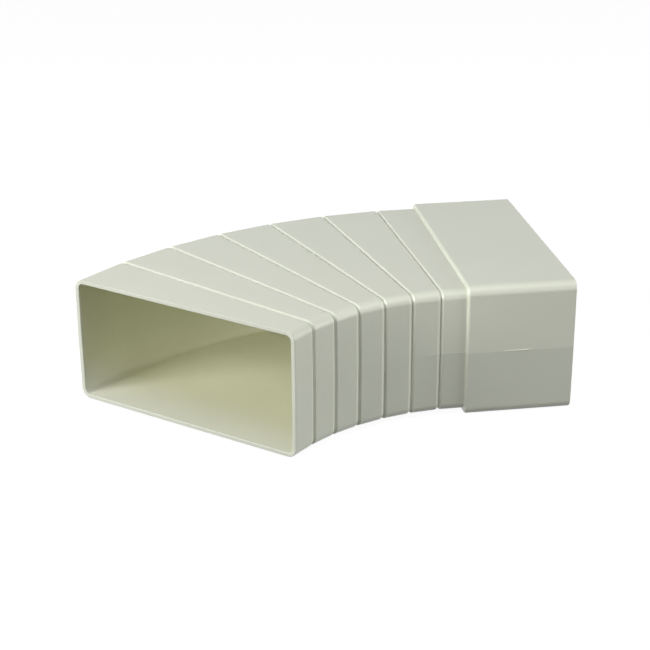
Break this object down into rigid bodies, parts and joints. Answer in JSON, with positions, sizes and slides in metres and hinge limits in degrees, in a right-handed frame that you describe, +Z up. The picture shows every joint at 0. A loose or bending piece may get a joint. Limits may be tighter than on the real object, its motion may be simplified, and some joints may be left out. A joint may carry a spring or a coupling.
{
  "type": "adjustable flat duct bend",
  "caption": "One-piece flat rectangular duct bend with a plain end, saw-guide grooves across its mitred body for choosing the angle, and a socket that slips over a duct.",
  "frame": {"origin": "on the floor plane under the middle of the part's box", "axes": "+X along the socket's axis, out of its mouth; +Y from the concave to the convex side of the bend; +Z up, across the duct's short side"},
  "size_m": [0.2038, 0.1436, 0.0575],
  "materials": {
    "ivory_plastic": "satin, as moulded"
  },
  "bodies": {
    "root": {"duct_bend": "ivory_plastic"}
  },
  "joints": []
}
